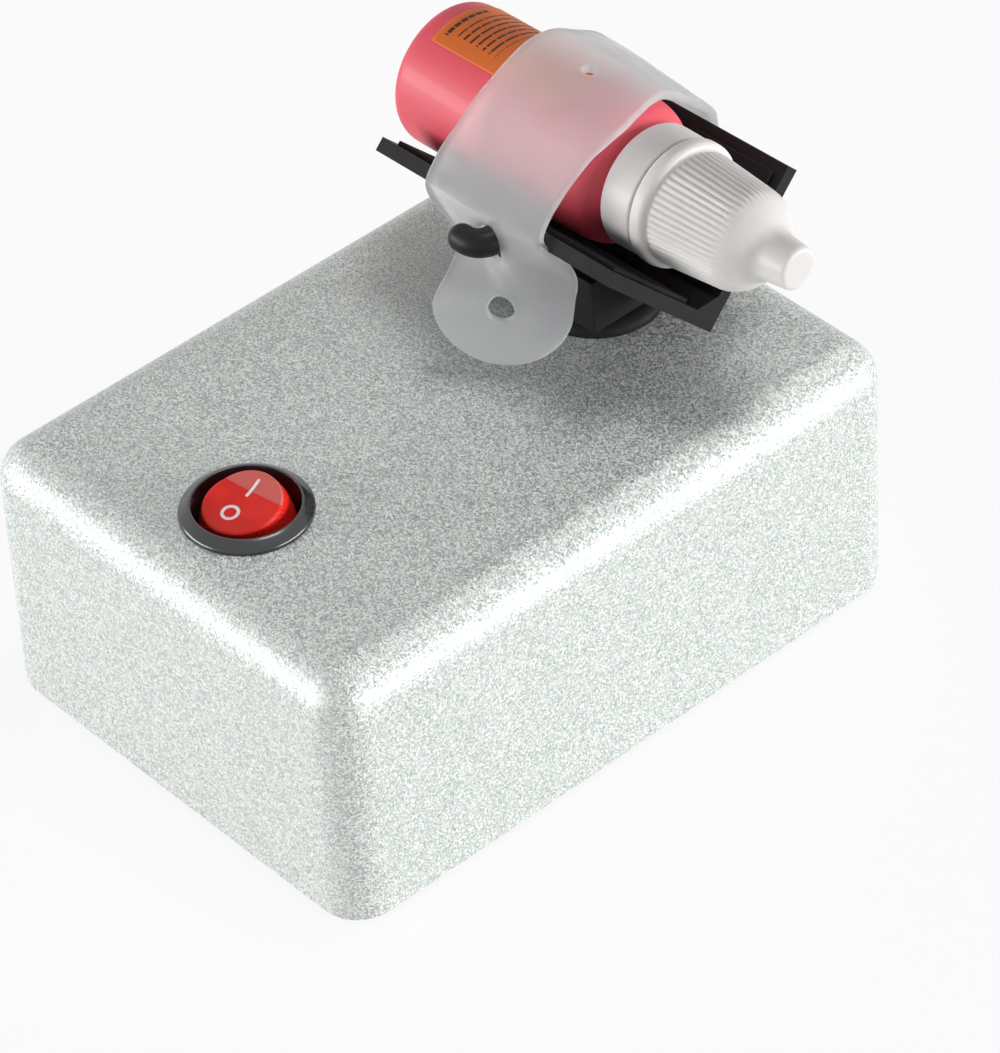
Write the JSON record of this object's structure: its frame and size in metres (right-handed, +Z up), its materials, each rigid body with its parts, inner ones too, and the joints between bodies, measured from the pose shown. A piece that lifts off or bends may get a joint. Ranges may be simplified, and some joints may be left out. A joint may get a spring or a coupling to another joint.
{
  "type": "nail polish shaker machine",
  "caption": "Rounded bench-top case with a round rocker switch and a rubber-sealed wobbling V cradle that shakes a spouted bottle held by a silicone strap.",
  "frame": {"origin": "on the surface that the feet stand on, below the middle of the case", "axes": "+Z up; +Y along the case's long side, from the switch to the holder; +X towards the bottle's cap"},
  "size_m": [0.0967, 0.1316, 0.1011],
  "materials": {
    "case_plastic": "satin, fine sparkle",
    "black_rubber": "matte",
    "black_plastic": "matte",
    "gloss_black": "gloss",
    "zinc_steel": "bright zinc",
    "cradle_metal": "dark satin",
    "brass": "plain",
    "red_lens": "translucent gloss",
    "cell_sleeve": "printed sleeve",
    "magnet": "sintered",
    "core_iron": "laminated",
    "red_lead": "matte",
    "black_lead": "matte",
    "clear_silicone": "translucent",
    "coral_plastic": "gloss",
    "liquid": "wet",
    "orange_label": "paper",
    "white_plastic": "satin"
  },
  "bodies": {
    "case": {"case_shell": "case_plastic", "base_plate": "case_plastic", "rubber_feet": "black_rubber", "case_screws": "zinc_steel", "rubber_boot": "black_rubber", "battery_tray": "black_plastic", "battery_cells": "cell_sleeve", "battery_springs": "zinc_steel", "battery_contacts": "zinc_steel", "battery_tabs": "zinc_steel", "switch_frame": "gloss_black", "switch_pivot_pin": "zinc_steel", "switch_terminals": "brass", "switch_lamp": "red_lens", "motor_can": "zinc_steel", "motor_end_cap": "black_plastic", "motor_magnets": "magnet", "motor_terminals": "brass", "motor_bracket": "zinc_steel", "bracket_screws": "zinc_steel", "motor_screws": "zinc_steel", "guide_pins": "zinc_steel", "lead_cells_to_switch": "red_lead", "lead_switch_to_motor": "red_lead", "lead_motor_to_cells": "black_lead"},
    "door": {"battery_door": "case_plastic"},
    "rocker": {"switch_rocker": "red_lens"},
    "contact_arm": {"switch_contact_arm": "brass"},
    "rotor": {"motor_armature": "core_iron", "motor_shaft": "zinc_steel", "drive_head": "zinc_steel", "drive_grub_screw": "zinc_steel", "counterweight": "zinc_steel", "bearing_inner_rings": "zinc_steel", "bearing_balls": "zinc_steel", "bearing_spacer": "zinc_steel", "pin_clip": "zinc_steel"},
    "holder": {"wobble_hub": "black_plastic", "guide_bushes": "brass", "bearing_outer_rings": "zinc_steel", "saddle": "black_plastic", "saddle_screw": "zinc_steel", "cradle": "cradle_metal", "cradle_screws": "zinc_steel", "grip_pads": "black_rubber", "near_hook": "cradle_metal", "far_hook": "cradle_metal", "hook_rivets": "zinc_steel", "strap": "clear_silicone"},
    "bottle": {"bottle_body": "coral_plastic", "bottle_fill": "liquid", "bottle_label": "orange_label", "bottle_collar": "white_plastic", "bottle_cap": "white_plastic"}
  },
  "joints": [
    {"name": "door_slide", "type": "slide", "parent": "case", "child": "door", "axis": [-1, 0, 0], "range_m": [0, 0.062]},
    {"name": "rocker_pivot", "type": "hinge", "parent": "case", "child": "rocker", "pos_m": [0, -0.0428, 0.0498], "axis": [-1, 0, 0], "range_deg": [0, 20]},
    {"name": "contact_arm_pivot", "type": "hinge", "parent": "case", "child": "contact_arm", "pos_m": [0, -0.0428, 0.0418], "axis": [1, 0, 0], "range_deg": [0, 16]},
    {"name": "motor_spin", "type": "hinge", "parent": "case", "child": "rotor", "pos_m": [0, 0.037, 0.04], "axis": [0, 0, 1], "continuous": true},
    {"name": "holder_wobble", "type": "hinge", "parent": "rotor", "child": "holder", "pos_m": [0, 0.037, 0.04], "axis": [-0.0436, 0, 0.999], "continuous": true},
    {"name": "bottle_slide", "type": "slide", "parent": "holder", "child": "bottle", "axis": [-0.999, 0, -0.0436], "range_m": [0, 0.06]}
  ],
  "couplings": [
    {"joint": "holder_wobble", "follows": "motor_spin", "ratio": -1},
    {"joint": "contact_arm_pivot", "follows": "rocker_pivot", "ratio": 0.8}
  ]
}
